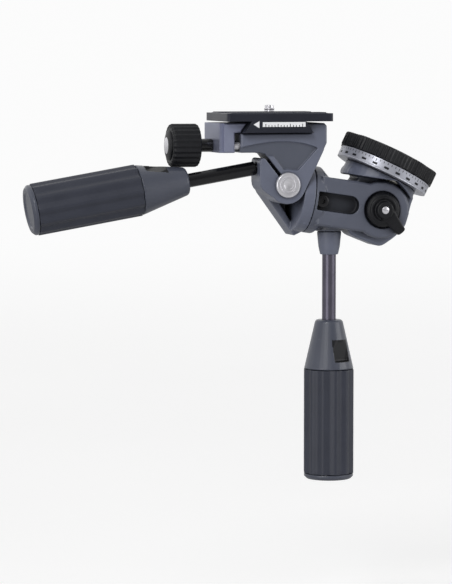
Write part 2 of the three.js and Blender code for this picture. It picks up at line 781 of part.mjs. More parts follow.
function buildClamp() {
  const face = (z) => [dovetailCentre - flank(z) - runGap, z];
  const side = outline([
    [jawLeft, clampUnder],
    [jawRight, clampUnder],
    [jawRight, clampFloor + gap],
    face(clampFloor + 2 * gap),
    face(clampJawTop),
    [jawLeft, clampJawTop],
  ]);
  const corner = (y) =>
    bar(jawCorner, clampUnder, clampJawTop, cornerSides).rotateZ(Math.PI / 4).translate(jawLeft, y, 0);
  const bore = (radius, from, y) =>
    alongX(bar(radius, from, jawRight + over, smallSteps)).translate(0, y, clampScrewHeight);
  const pinStart = jawLeft + clampEdge;
  piece(platformFrame, 'clamp_jaw', greyAlloy, cut(
    slab(side, -halfJaw, halfJaw, clampEdge),
    bore(clampScrewRadius + gap, jawLeft - over, 0),
    bore(guidePinRadius + gap, pinStart - gap, guidePinSpacing / 2),
    bore(guidePinRadius + gap, pinStart - gap, -guidePinSpacing / 2),
    corner(halfJaw),
    corner(-halfJaw),
  ));
  [-1, 1].forEach((hand, i) => {
    piece(platformFrame, `jaw_guide_pin_${i + 1}`, brightSteel,
      alongX(bar(guidePinRadius, pinStart, jawLeft + guidePinLength, smallSteps))
        .translate(0, (hand * guidePinSpacing) / 2, clampScrewHeight));
  });

  const knobRight = jawLeft - clampShaftLength;
  const knobLeft = knobRight - knobLength;
  const place = (shape) => shape.translate(0, 0, clampScrewHeight);
  const shaftEnd = jawLeft - gap;
  piece(platformFrame, 'clamp_screw', blackSteel, place(alongX(turned([
    [0, knobLeft + knobLength / 2],
    [clampShaftRadius, knobLeft + knobLength / 2],
    [clampShaftRadius, shaftEnd],
    [clampScrewRadius, shaftEnd],
    [clampScrewRadius, clampScrewTip],
    [0, clampScrewTip],
  ], smallSteps))));
  const coreRadius = knobRadius - knobWall;
  piece(platformFrame, 'clamp_knob_core', blackPlastic, place(alongX(cut(
    bar(coreRadius, knobLeft, knobRight - gap),
    bar(clampShaftRadius + gap / 2, knobLeft + knobLength / 2 - gap, armDepth, smallSteps),
  ))));
  piece(platformFrame, 'clamp_knob_grip', gripRubber, place(alongX(
    wavedBar(knobRadius, knobRibHeight, knobRibs, coreRadius + gap / 2, knobLeft, knobRight, knobCorner),
  )));
  const dome = [[0, knobLeft - gap], [knobCapRadius, knobLeft - gap]].map(([r, x]) => [r, -x]);
  for (let i = 1; i <= domeSteps; i += 1) {
    const turn = (Math.PI / 2) * (i / domeSteps);
    dome.push([knobCapRadius * Math.cos(turn), -(knobLeft - gap) + knobCapHeight * Math.sin(turn)]);
  }
  dome[dome.length - 1][0] = 0;
  const cap = turned(dome, roundSteps).rotateY(-Math.PI / 2);
  piece(platformFrame, 'clamp_knob_cap', brightSteel, place(cap));
}

function buildPlate() {
  const plateTop = dovetailTop + plateThickness;
  const half = plateLength / 2;
  const side = outline([
    [dovetailCentre - flank(dovetailFoot), dovetailFoot],
    [dovetailCentre + flank(dovetailFoot), dovetailFoot],
    [dovetailCentre + flank(dovetailTop), dovetailTop],
    [plateShift + half, dovetailTop],
    [plateShift + half, plateTop],
    [plateShift - half, plateTop],
    [plateShift - half, dovetailTop],
    [dovetailCentre - flank(dovetailTop), dovetailTop],
  ]);
  const plan = outline([
    [plateShift - half, -plateDepth / 2],
    [plateShift + half, -plateDepth / 2],
    [plateShift + half, plateDepth / 2],
    [plateShift - half, plateDepth / 2],
  ], plateCorner);
  const planSolid = new THREE.ExtrudeGeometry(plan, {
    depth: plateTop,
    bevelEnabled: false,
    curveSegments: arcSteps,
  });
  const padFloor = plateTop - padThickness / 2;
  const padX = [plateShift - half + padInset, plateShift + half - padInset];
  const padY = (hand) => {
    const outer = plateDepth / 2 - padInset;
    return hand < 0 ? [-outer, -outer + padDepth] : [outer - padDepth, outer];
  };
  const grown = ([low, high]) => [low - gap, high + gap];
  const headRoom = dovetailFoot + gap + cameraScrewHeadHeight;
  piece(platformFrame, 'quick_plate', darkAlloy, cut(
    common(slab(side, -plateDepth / 2, plateDepth / 2, clampEdge / 2), planSolid),
    block(grown(padX), grown(padY(-1)), [padFloor - gap, plateTop + over]),
    block(grown(padX), grown(padY(1)), [padFloor - gap, plateTop + over]),
    bar(cameraScrewHead + gap, dovetailFoot - over, headRoom + gap).translate(plateShift, 0, 0),
    bar(cameraScrewRadius + gap, dovetailFoot, plateTop + over, smallSteps).translate(plateShift, 0, 0),
  ));
  const padZ = [padFloor, padFloor + padThickness];
  piece(platformFrame, 'plate_pad_front', gripRubber, block(padX, padY(-1), padZ));
  piece(platformFrame, 'plate_pad_rear', gripRubber, block(padX, padY(1), padZ));
  const slotDepth = cameraScrewHeadHeight / 2;
  piece(platformFrame, 'camera_screw', brightSteel, cut(
    join(
      bar(cameraScrewHead, dovetailFoot + gap, headRoom).translate(plateShift, 0, 0),
      bar(cameraScrewRadius, headRoom - slotDepth / 2, plateTop + cameraScrewRise, smallSteps)
        .translate(plateShift, 0, 0),
    ),
    block(
      [plateShift - cameraSlotWidth / 2, plateShift + cameraSlotWidth / 2],
      [-plateDepth, plateDepth],
      [0, dovetailFoot + gap + slotDepth],
    ),
  ));
}

// One handle along -Z of its frame: rod, nose and core, ribbed sleeve and end cap
function buildHandle(group, name, shoulder, threadTop, gripStart, thumbAngle, rodFinish) {
  const rodEnd = gripStart + rodInGrip;
  piece(group, `${name}_handle_rod`, rodFinish, turned([
    [0, -rodEnd],
    [rodRadius, -rodEnd],
    [rodRadius, -shoulder],
    [rodThreadRadius, -shoulder],
    [rodThreadRadius, threadTop],
    [0, threadTop],
  ], smallSteps));
  const taperEnd = gripStart + gripTaper;
  const capTop = gripStart + gripLength - gripCapThickness;
  const bore = rodRadius + gap / 2;
  const edge = gripCapEdge;
  const core = turned([
    [0, -capTop + gap],
    [gripCoreRadius, -capTop + gap],
    [gripCoreRadius, -taperEnd],
    [gripRadius - gripFluteDepth / 2, -taperEnd],
    [gripNoseRadius + edge / 2, -gripStart - edge],
    [gripNoseRadius - edge / 2, -gripStart],
    [bore, -gripStart],
    [bore, -rodEnd - gap],
    [0, -rodEnd - gap],
  ], fineSteps);
  const thumbMiddle = gripStart + gripTaper * thumbPlaceShare;
  const thumbRadius = gripNoseRadius + (gripRadius - gripNoseRadius) * thumbReachShare;
  const thumb = block(
    [thumbRadius - thumbDepth / 2, gripRadius + over],
    [-thumbWidth / 2, thumbWidth / 2],
    [-thumbMiddle - thumbLength / 2, -thumbMiddle + thumbLength / 2],
  );
  piece(group, `${name}_handle_core`, gripPlastic, cut(core, thumb.rotateZ(rad(thumbAngle))));
  piece(group, `${name}_handle_sleeve`, gripRubber, wavedBar(
    gripRadius,
    gripFluteDepth,
    gripFlutes,
    gripCoreRadius + gap,
    -capTop + gap,
    -taperEnd - gap,
    0,
  ));
  const capEnd = gripStart + gripLength;
  piece(group, `${name}_handle_cap`, blackPlastic, turned([
    [0, -capEnd],
    [gripRadius - 2 * edge, -capEnd],
    [gripRadius - edge / 2, -capEnd + edge],
    [gripRadius - edge / 2, -capTop],
    [0, -capTop],
  ], fineSteps));
}

function buildLowerHandle() {
  const group = frame(armFrame, -lowerHandleReach, 0, 0, -armDip);
  const collarTop = lowerHandleSeat + gap;
  const collarFoot = collarTop + collarLength;
  const bore = rodRadius + gap / 2;
  piece(group, 'lower_handle_collar', castAlloy, turned([
    [bore, -collarFoot],
    [rodRadius + collarFlare * 3, -collarFoot],
    [collarRadius - collarFlare, -collarFoot + collarLength / 3],
    [collarRadius + collarFlare, -collarTop - collarFlare],
    [collarRadius, -collarTop],
    [bore, -collarTop],
  ], roundSteps));
  const padTop = (swivelAxleRadius + gap) / Math.cos(rad(armDip)) + rodThreadRadius * Math.tan(rad(armDip));
  const padFoot = padTop + brakePadThickness;
  piece(group, 'brake_pad', brass, bar(rodThreadRadius, -padFoot, -padTop, smallSteps));
  const shoulder = collarTop + collarLength / 3;
  buildHandle(group, 'lower', shoulder, -padFoot - gap, lowerGripStart, lowerThumbAngle, castAlloy);
}

function buildLeftHandle() {
  const group = frame(platformFrame, handleFoot[0], -leftHandleLayer, handleFoot[1], 90 - handleDroop);
  const bossFace = (bossLeft + handleFoot[0]) / Math.cos(rad(handleDroop));
  const shoulder = bossFace + rodRadius * Math.tan(rad(handleDroop)) + gap;
  buildHandle(group, 'left', shoulder, leftThreadReach, leftGripStart, leftThumbAngle, blackSteel);
}

buildBase();
buildArm();
buildLever();
buildBracket();
buildPlatform();
buildClamp();
buildPlate();
buildLowerHandle();
buildLeftHandle();

export default head;
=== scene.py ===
import bmesh
import bpy
import json
from math import atan2, cos, hypot, pi, radians, sin
from mathutils import Matrix, Vector


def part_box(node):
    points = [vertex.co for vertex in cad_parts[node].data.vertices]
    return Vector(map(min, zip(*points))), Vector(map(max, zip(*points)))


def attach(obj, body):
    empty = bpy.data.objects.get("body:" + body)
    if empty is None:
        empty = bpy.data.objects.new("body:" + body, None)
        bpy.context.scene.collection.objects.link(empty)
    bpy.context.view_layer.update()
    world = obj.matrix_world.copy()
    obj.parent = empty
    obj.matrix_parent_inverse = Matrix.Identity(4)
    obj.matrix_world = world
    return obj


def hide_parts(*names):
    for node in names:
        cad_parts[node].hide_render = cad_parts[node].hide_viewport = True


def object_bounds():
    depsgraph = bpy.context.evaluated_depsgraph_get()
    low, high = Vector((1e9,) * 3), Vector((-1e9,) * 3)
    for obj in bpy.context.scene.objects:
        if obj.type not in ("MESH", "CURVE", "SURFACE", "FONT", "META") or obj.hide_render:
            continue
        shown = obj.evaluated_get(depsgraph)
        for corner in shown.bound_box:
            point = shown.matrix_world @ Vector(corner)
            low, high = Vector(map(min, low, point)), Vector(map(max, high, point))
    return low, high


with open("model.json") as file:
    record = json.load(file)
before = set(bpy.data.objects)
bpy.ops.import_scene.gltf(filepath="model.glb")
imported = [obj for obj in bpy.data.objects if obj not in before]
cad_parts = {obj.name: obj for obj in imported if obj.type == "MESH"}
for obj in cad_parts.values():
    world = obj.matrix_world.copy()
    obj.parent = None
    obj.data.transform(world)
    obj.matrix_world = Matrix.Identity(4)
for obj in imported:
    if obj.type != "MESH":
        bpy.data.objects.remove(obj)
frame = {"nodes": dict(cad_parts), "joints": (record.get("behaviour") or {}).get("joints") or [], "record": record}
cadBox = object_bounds()
record = frame["record"]
bodyOf = {node: body for body, nodes in record["behaviour"]["bodies"].items() for node in nodes}
slotOf = {part["node"]: part["material_slot"] for part in record["subparts"]}
joints = {joint["name"]: joint for joint in frame["joints"]}
print("frame loaded")

millimetre = 0.001
weldGap = 0.0001
sharpAngle = 32  # edges steeper than this stay crisp
crease = 60  # the same on a casting, whose corners are flowed round
flatAngle = 1  # faces of a solid that turn by less are one flat
flowShare = 0.5  # how far each smoothing pass takes a casting's corners
roundSteps = 128
shaftSteps = 64
cutBeyond = 1  # how far a cutter reaches past the face it enters


# Pieces are drawn in millimetres about their joint, and these places bring them to metres
def standing(foot, turn=0.0):
    return Matrix.Translation(foot) @ Matrix.Rotation(turn, 4, "Y") @ Matrix.Scale(millimetre, 4)


def spot(name):
    return Vector(joints[name]["pos_m"])


def axis(name):
    return Vector(joints[name]["axis"])


dip = atan2(-axis("swivel_turn").z, axis("swivel_turn").x)
panPlace = standing(spot("pan_turn"), atan2(axis("pan_turn").x, axis("pan_turn").z))
armPlace = standing(spot("arm_hinge"), dip)
axlePlace = standing(spot("platform_tilt"), dip)
levelPlace = standing(spot("platform_tilt"))
knobPlace = standing(spot("clamp_knob_turn"), pi / 2)  # Z to the right
lowerPlace = standing(spot("lower_handle_turn"))
leftAxis = axis("left_handle_turn")
leftPlace = standing(spot("left_handle_turn"), atan2(-leftAxis.x, -leftAxis.z))
towardsBack = Matrix.Rotation(-pi / 2, 4, "X")  # a turned piece's Z laid along +Y


# Materials. Mould grain and tool lines are really 0.05 to 0.15 mm: grainMm draws them coarser, to show
pattern = {
    # The ambient occlusion rays and bounds paint shade into hollows; the rub bounds are for worn edges
    "patchDetail": 4.0, "grainDetail": 2.0, "bumpStrength": 0.5, "shadeRays": 8,
    "rubFrom": 0.54, "rubTo": 0.66, "shadeFrom": 0.3, "shadeTo": 0.86,
}


def linear(hexCode):
    values = [int(hexCode[i:i + 2], 16) / 255 for i in (1, 3, 5)]
    return [v / 12.92 if v <= 0.04045 else ((v + 0.055) / 1.055) ** 2.4 for v in values] + [1.0]


def addNode(tree, kind, settings=None, links=None):
    node = tree.nodes.new(kind)
    for name, value in (settings or {}).items():
        if isinstance(name, str) and hasattr(node, name):
            setattr(node, name, value)
        else:
            node.inputs[name].default_value = value
    for name, socket in (links or {}).items():
        tree.links.new(socket, node.inputs[name])
    return node


def surfaceOf(name, look):
    # One graph for every finish: two tones in soft patches, a roughness that drifts, a fine grain
    material = bpy.data.materials.new(name)
    material.use_nodes = True
    tree = material.node_tree
    shader = tree.nodes["Principled BSDF"]
    where = addNode(tree, "ShaderNodeTexCoord").outputs["Object"]
    patches = addNode(tree, "ShaderNodeTexNoise",
                      {"Scale": 1 / (look["patchMm"] * millimetre), "Detail": pattern["patchDetail"]},
                      {"Vector": where})
    tone = addNode(tree, "ShaderNodeMix",
                   {"data_type": "RGBA", 6: linear(look["dark"]), 7: linear(look["light"])},
                   {0: patches.outputs["Fac"]})
    colour = tone.outputs[2]
    if "edge" in look:  # rubbed thin along the edges
        bend = addNode(tree, "ShaderNodeNewGeometry").outputs["Pointiness"]
        rub = addNode(tree, "ShaderNodeMapRange",
                      {"From Min": pattern["rubFrom"], "From Max": pattern["rubTo"],
                       "To Min": 0.0, "To Max": look["edgeShare"]},
                      {"Value": bend})
        worn = addNode(tree, "ShaderNodeMix", {"data_type": "RGBA", 7: linear(look["edge"])},
                       {0: rub.outputs["Result"], 6: colour})
        colour = worn.outputs[2]
    if "paintedShade" in look:  # painted shade: the base colour is darkened where ambient occlusion finds hollows
        hollow = addNode(tree, "ShaderNodeAmbientOcclusion",
                         {"samples": pattern["shadeRays"], "Distance": look["paintedShadeReachMm"] * millimetre})
        depth = addNode(tree, "ShaderNodeMapRange",
                        {"From Min": pattern["shadeFrom"], "From Max": pattern["shadeTo"],
                         "To Min": look["paintedShadeShare"], "To Max": 0.0},
                        {"Value": hollow.outputs["AO"]})
        shadedHollows = addNode(tree, "ShaderNodeMix", {"data_type": "RGBA", 7: linear(look["paintedShade"])},
                        {0: depth.outputs["Result"], 6: colour})
        colour = shadedHollows.outputs[2]
    tree.links.new(colour, shader.inputs["Base Color"])
    smear = addNode(tree, "ShaderNodeMapRange",
                    {"To Min": look["rough"][0], "To Max": look["rough"][1]},
                    {"Value": patches.outputs["Fac"]})
    tree.links.new(smear.outputs["Result"], shader.inputs["Roughness"])
    stretch = addNode(tree, "ShaderNodeMapping", {"Scale": look.get("stretch", (1, 1, 1))},
                      {"Vector": where})
    grain = addNode(tree, "ShaderNodeTexNoise",
                    {"Scale": 1 / (look["grainMm"] * millimetre), "Detail": pattern["grainDetail"]},
                    {"Vector": stretch.outputs["Vector"]})
    bump = addNode(tree, "ShaderNodeBump",
                   {"Strength": pattern["bumpStrength"], "Distance": look["grainDeepMm"] * millimetre},
                   {"Height": grain.outputs["Fac"]})
    tree.links.new(bump.outputs["Normal"], shader.inputs["Normal"])
    shader.inputs["Metallic"].default_value = look.get("metallic", 0.0)
    shader.inputs["Specular IOR Level"].default_value = look.get("shine", 0.5)
    shader.inputs["Coat Weight"].default_value = look.get("coat", 0.0)
    shader.inputs["Coat Roughness"].default_value = look.get("coatRough", 0.2)
    return material


# Die-cast alloy under a powder coat: satin, with a fine orange peel and slightly paler edges. Its tone is set a
# little lighter as painted light, against the shade on the housing, and painted shade darkens its hollows
powderCoat = surfaceOf("powderCoatedCasting", {
    "dark": "#555968", "light": "#656a7b", "edge": "#8d92a6", "edgeShare": 0.25,
    "paintedShade": "#0e1016", "paintedShadeShare": 0.75, "paintedShadeReachMm": 8,
    "patchMm": 16, "rough": (0.36, 0.50), "grainMm": 0.7, "grainDeepMm": 0.03,
    "coat": 0.15, "coatRough": 0.3,
})
# The same coat made a shade darker for the arm: a shaded copy, as painted shade, with painted shade in its hollows
# too
shadedArmCoat = surfaceOf("powderCoatedArmShaded", {
    "dark": "#484c59", "light": "#575b69", "edge": "#858a9c", "edgeShare": 0.15,
    "paintedShade": "#0e1016", "paintedShadeShare": 0.85, "paintedShadeReachMm": 8,
    "patchMm": 16, "rough": (0.36, 0.50), "grainMm": 0.7, "grainDeepMm": 0.03,
    "coat": 0.15, "coatRough": 0.3,
})
# The platform's sunk panel is coloured darker and duller than the rest of the coat; painted shade darkens its
# hollows
recessCoat = surfaceOf("darkerCoatInPanel", {
    "dark": "#464a56", "light": "#525663", "paintedShade": "#0e1016", "paintedShadeShare": 0.7, "paintedShadeReachMm": 8,
    "patchMm": 12, "rough": (0.42, 0.56), "grainMm": 0.7, "grainDeepMm": 0.03,
})
# Painted shade: the arm's pocket is coloured dark and matt for the shade deep inside it, and its hollows darker
# still
shadedPocketCoat = surfaceOf("pocketPaintedShade", {
    "dark": "#22242b", "light": "#2f323a", "paintedShade": "#08090c", "paintedShadeShare": 0.9, "paintedShadeReachMm": 10,
    "patchMm": 8, "rough": (0.5, 0.66), "grainMm": 0.7, "grainDeepMm": 0.04, "shine": 0.3,
})
# Alloy turned or milled, anodised near black: metal sheen with faint tool lines along X
darkAnodised = surfaceOf("darkAnodisedAlloy", {
    "dark": "#252730", "light": "#32343f", "patchMm": 22, "rough": (0.30, 0.44), "metallic": 0.55,
    "grainMm": 0.5, "grainDeepMm": 0.02, "stretch": (0.08, 1, 1),
})
# Milled and anodised pale blue-grey: the jaw catches the light before the casting does
paleAnodised = surfaceOf("paleAnodisedAlloy", {
    "dark": "#7d8197", "light": "#9094aa", "patchMm": 12, "rough": (0.30, 0.42), "metallic": 0.5,
    "grainMm": 0.5, "grainDeepMm": 0.015, "stretch": (1, 1, 0.08),
})
# Turned alloy, clear anodised: bright ring with fine lines
turnedAlloy = surfaceOf("turnedClearAlloy", {
    "dark": "#a0a2ac", "light": "#bbbdc7", "patchMm": 9, "rough": (0.26, 0.40), "metallic": 0.5,
    "grainMm": 0.4, "grainDeepMm": 0.015,
})
# Moulded glass-filled nylon: near black, satin, a hint of shine on its high spots
mouldedNylon = surfaceOf("mouldedBlackNylon", {
    "dark": "#090a0d", "light": "#121318", "edge": "#34363f", "edgeShare": 0.15, "shine": 0.3,
    "patchMm": 8, "rough": (0.34, 0.52), "grainMm": 0.45, "grainDeepMm": 0.02,
})
# Moulded ABS of the grips: charcoal with a spark-eroded grain and a slight gloss
gripAbs = surfaceOf("grainedCharcoalAbs", {
    "dark": "#363a46", "light": "#434755", "edge": "#5c6070", "edgeShare": 0.3,
    "patchMm": 18, "rough": (0.40, 0.52), "grainMm": 0.5, "grainDeepMm": 0.035,
    "coat": 0.35, "coatRough": 0.18,
})
# Moulded rubber sleeve: matt charcoal, dusty in patches
gripRubber = surfaceOf("mattCharcoalRubber", {
    "dark": "#262934", "light": "#313440", "patchMm": 11, "rough": (0.40, 0.52), "shine": 0.45,
    "grainMm": 0.55, "grainDeepMm": 0.05,
})
# Moulded rubber of the clamp knob: newer and blacker than the sleeves
knobRubber = surfaceOf("blackKnobRubber", {
    "dark": "#0d0e12", "light": "#17181d", "edge": "#30323a", "edgeShare": 0.15, "shine": 0.3,
    "patchMm": 7, "rough": (0.46, 0.62), "grainMm": 0.5, "grainDeepMm": 0.03,
})
# Bare steel rod of the lower handle, browned a little by wear
gunSteel = surfaceOf("wornGunmetalSteel", {
    "dark": "#504d58", "light": "#676471", "patchMm": 9, "rough": (0.26, 0.40), "metallic": 0.8,
    "grainMm": 0.5, "grainDeepMm": 0.01,
})
# Steel with glossy black oxide and a wipe of oil
blackOxide = surfaceOf("blackOxideSteel", {
    "dark": "#0e0e11", "light": "#1a1a1e", "patchMm": 10, "rough": (0.16, 0.30), "metallic": 0.6,
    "grainMm": 0.6, "grainDeepMm": 0.008, "coat": 0.4,
})
# Nickel-plated steel: satin bright, slightly mottled
nickelPlate = surfaceOf("satinNickelPlate", {
    "dark": "#cdccd1", "light": "#e8e7ec", "patchMm": 5, "rough": (0.24, 0.38), "metallic": 0.75,
    "grainMm": 0.4, "grainDeepMm": 0.01,
})
# Natural nylon washers: milky, waxy
naturalNylon = surfaceOf("naturalNylon", {
    "dark": "#cfcdc4", "light": "#e0ded6", "patchMm": 6, "rough": (0.42, 0.55),
    "grainMm": 0.4, "grainDeepMm": 0.01,
})
# Turned brass, dulled where it has been handled
turnedBrass = surfaceOf("turnedBrass", {
    "dark": "#96773b", "light": "#b9975a", "patchMm": 4, "rough": (0.24, 0.42), "metallic": 1.0,
    "grainMm": 0.3, "grainDeepMm": 0.01,
})
# Screen-printed white: flat, a little uneven
whitePrint = surfaceOf("screenPrintedWhite", {
    "dark": "#d9dade", "light": "#ececef", "patchMm": 3, "rough": (0.5, 0.62),
    "grainMm": 0.3, "grainDeepMm": 0.005,
})
finishOf = {
    "cast_alloy": powderCoat, "dark_alloy": darkAnodised, "grey_alloy": paleAnodised,
    "ring_alloy": turnedAlloy, "black_plastic": mouldedNylon, "grip_plastic": gripAbs,
    "grip_rubber": gripRubber, "black_steel": blackOxide, "bright_steel": nickelPlate,
    "nylon": naturalNylon, "brass": turnedBrass,
}
for node, solid in frame["nodes"].items():
    solid.data.materials.clear()
    solid.data.materials.append(finishOf[slotOf[node]])
print("materials made")


# Shapes
def soften(shape, width, segments=2, angle=sharpAngle, beyond=-1):
    # Bevels the edges steeper than angle that lie further out from Z than beyond
    if width:
        edges = [e for e in shape.edges if e.is_manifold and e.calc_face_angle(0) > radians(angle)
                 and all(hypot(v.co.x, v.co.y) > beyond for v in e.verts)]
        bmesh.ops.bevel(shape, geom=edges, offset=width, offset_type="OFFSET", segments=segments,
                        profile=0.5, affect="EDGES", clamp_overlap=True, material=-1)
    return shape


def spun(profile, steps=roundSteps, edge=0.0):
    # Turns a line of [radius, height] points about Z
    shape = bmesh.new()
    corners = [shape.verts.new((radius, 0, height)) for radius, height in profile]
    for pair in zip(corners, corners[1:]):
        shape.edges.new(pair)
    if profile[0][0] > 0:
        shape.edges.new((corners[-1], corners[0]))
    bmesh.ops.spin(shape, geom=shape.verts[:] + shape.edges[:], cent=(0, 0, 0), axis=(0, 0, 1),
                   angle=2 * pi, steps=steps, use_merge=True)
    bmesh.ops.remove_doubles(shape, verts=shape.verts[:], dist=weldGap)
    bmesh.ops.recalc_face_normals(shape, faces=shape.faces[:])
    return soften(shape, edge)


def tube(inner, outer, low, high):
    # Profile of a ring, or of a plain disc where inner is 0
    return [(inner, low), (outer, low), (outer, high), (inner, high)]


def teeth(radius, depth, pitch, start, end):
    # Profile of a screw thread, cut as rings because its helix leans by only 2 to 4 degrees
    count = int(abs(end - start) / pitch)
    step = pitch if end > start else -pitch
    points = []
    for i in range(count):
        points += [(radius - depth, start + i * step), (radius, start + (i + 0.5) * step)]
    return points + [(radius - depth, start + count * step)]


def wave(shape, depth, waves, beyond):
    # Draws the rim in and out, as on a grip or a lobed ring
    for vert in shape.verts:
        reach = hypot(vert.co.x, vert.co.y)
        if reach > beyond:
            turn = atan2(vert.co.y, vert.co.x)
            share = 1 - depth * (0.5 - 0.5 * cos(waves * turn)) / reach
            vert.co.x *= share
            vert.co.y *= share
    return shape


def prism(radius, sides, low, high, edge=0.0):
    shape = bmesh.new()
    bmesh.ops.create_cone(shape, cap_ends=True, segments=sides, radius1=radius, radius2=radius,
                          depth=high - low, matrix=Matrix.Translation((0, 0, (low + high) / 2)))
    return soften(shape, edge)


def brick(x, y, z, edge=0.0):
    shape = bmesh.new()
    size = Matrix.Diagonal((x[1] - x[0], y[1] - y[0], z[1] - z[0], 1))
    middle = Matrix.Translation(((x[0] + x[1]) / 2, (y[0] + y[1]) / 2, (z[0] + z[1]) / 2))
    bmesh.ops.create_cube(shape, size=1, matrix=middle @ size)
    return soften(shape, edge)


def together(first, *others):
    for other in others:
        carrier = bpy.data.meshes.new("carrier")
        other.to_mesh(carrier)
        other.free()
        first.from_mesh(carrier)
        bpy.data.meshes.remove(carrier)
    return first


def asObject(name, shape, place):
    if place:
        shape.transform(place)
    mesh = bpy.data.meshes.new(name)
    shape.to_mesh(mesh)
    shape.free()
    thing = bpy.data.objects.new(name, mesh)
    bpy.context.scene.collection.objects.link(thing)
    return thing


def settle(thing):
    # Writes what the modifiers make into the mesh
    seen = thing.evaluated_get(bpy.context.evaluated_depsgraph_get())
    finished = bpy.data.meshes.new_from_object(seen)
    thing.modifiers.clear()
    thing.data = finished


def cutBy(thing, cutter):
    carve = thing.modifiers.new("carve", "BOOLEAN")
    carve.operation = "DIFFERENCE"
    carve.solver = "EXACT"
    carve.object = cutter
    settle(thing)
    bpy.data.objects.remove(cutter)


def dress(thing, node, finish=None, angle=sharpAngle, flat=True):
    # Finish, body and slot of a piece come from the node it stands for
    thing.data.materials.clear()
    thing.data.materials.append(finish or finishOf[slotOf[node]])
    thing.data.shade_smooth()
    thing.data.set_sharp_from_angle(angle=radians(angle))
    if flat:  # wide faces keep their own normals, and the small bevels take up the turn
        lean = thing.modifiers.new("lean", "WEIGHTED_NORMAL")
        lean.keep_sharp = True
        settle(thing)
    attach(thing, bodyOf[node])
    return thing


def standFor(node, name, shape, place, angle=sharpAngle, finish=None, cut=None):
    # A new piece in a node's stead, with a slot or bore cut into it where one is given
    thing = asObject(name, shape, place)
    if cut is not None:
        cutBy(thing, asObject("cutter", cut, place))
    dress(thing, node, finish=finish, angle=angle)
    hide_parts(node)
    return thing


def inlay(thing, finish, place, inside):
    # A second finish on the faces that lie in a region, given in the piece's own millimetres
    thing.data.materials.append(finish)
    back = place.inverted()
    for face in thing.data.polygons:
        face.material_index = 1 if inside(back @ face.center, face.normal) else 0


def mergedCopy(node):
    shape = bmesh.new()
    shape.from_mesh(frame["nodes"][node].data)
    bmesh.ops.remove_doubles(shape, verts=shape.verts[:], dist=weldGap * millimetre)
    return shape


def poured(node, name, skinMm, passes, extras=()):
    # A casting or moulding: one skin over the solid and what is added to it, its corners flowed round
    thing = asObject(name, together(mergedCopy(node), *extras), None)
    skin = thing.modifiers.new("skin", "REMESH")
    skin.mode = "VOXEL"
    skin.voxel_size = skinMm * millimetre
    flow = thing.modifiers.new("flow", "SMOOTH")
    flow.factor = flowShare
    flow.iterations = passes
    settle(thing)
    dress(thing, node, angle=crease, flat=False)
    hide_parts(node)


def milled(node, name, edgeMm):
    # A block cut from bar: flat faces with small, even chamfers
    shape = mergedCopy(node)
    bmesh.ops.dissolve_limit(shape, angle_limit=radians(flatAngle), verts=shape.verts[:],
                             edges=shape.edges[:])
    standFor(node, name, soften(shape, edgeMm * millimetre, segments=3), None)


# Base, pan scale and lock ring
base = {
    "seat": 24, "seatThick": 3, "hub": 16, "hubDeep": 14.8, "spindle": 6, "spindleDeep": 27.4,
    "pocket": 7.6, "pocketDeep": 7.5, "edge": 0.35,
    "grooveAt": 19.5, "grooveWide": 1.2, "grooveDeep": 0.5,
    "insert": 7.3, "insertBore": 4.35, "insertTop": 0.3, "insertFoot": 7.2, "insertAngle": 25,
    "threadDeep": 0.5, "threadPitch": 1.5875,
}


def makeBase():
    inner = base["grooveAt"] - base["grooveWide"] / 2
    outer = base["grooveAt"] + base["grooveWide"] / 2
    profile = [
        (0, -base["spindleDeep"]), (base["spindle"], -base["spindleDeep"]),
        (base["spindle"], -base["hubDeep"]), (base["hub"], -base["hubDeep"]),
        (base["hub"], -base["seatThick"]), (base["seat"], -base["seatThick"]), (base["seat"], 0),
        (outer, 0), (outer, -base["grooveDeep"]), (inner, -base["grooveDeep"]), (inner, 0),
        (base["pocket"], 0), (base["pocket"], -base["pocketDeep"]), (0, -base["pocketDeep"]),
    ]
    standFor("base_plate", "baseTurned", spun(profile, edge=base["edge"]), panPlace)
    bore = base["insertBore"]
    top = -base["insertTop"]
    foot = -base["insertFoot"]
    # The thread of a bore is that of a shaft, folded over the bore's wall
    shaft = teeth(bore, base["threadDeep"], base["threadPitch"], top, foot)
    thread = [(2 * bore - r, z) for r, z in shaft]
    insert = spun([(base["insert"], top)] + thread + [(base["insert"], foot)], steps=shaftSteps)
    standFor("thread_insert", "insertThreaded", insert, panPlace, angle=base["insertAngle"])


lockRing = {
    "rim": 29.8, "low": 8.8, "top": 0.6, "bore": 16.3, "seatBore": 24.3, "step": 3.3, "edge": 0.9,
    "lobes": 10, "lobeDeep": 1.5, "ribs": 80, "ribDeep": 0.45, "rimFrom": 26, "steps": 640,
}


def makeLockRing():
    profile = [
        (lockRing["bore"], -lockRing["low"]), (lockRing["rim"], -lockRing["low"]),
        (lockRing["rim"], -lockRing["top"]), (lockRing["seatBore"], -lockRing["top"]),
        (lockRing["seatBore"], -lockRing["step"]), (lockRing["bore"], -lockRing["step"]),
    ]
    shape = spun(profile, steps=lockRing["steps"], edge=lockRing["edge"])
    wave(shape, lockRing["lobeDeep"], lockRing["lobes"], lockRing["rimFrom"])
    wave(shape, lockRing["ribDeep"], lockRing["ribs"], lockRing["rimFrom"])
    standFor("pan_lock_ring", "lockRingMoulded", shape, panPlace)


scaleRing = {
    "rim": 28, "low": 15.0, "top": 9.1, "bore": 16.3, "edge": 0.2, "groove": 0.25, "steps": 192,
    "marks": 24, "markWide": 2.9, "markTall": 1.3, "markAt": -12.7, "printThick": 0.06,
    "ticks": 72, "tickWide": 0.4, "tickTall": 1.1, "longTall": 1.7, "every": 6, "tickTop": -9.7,
}


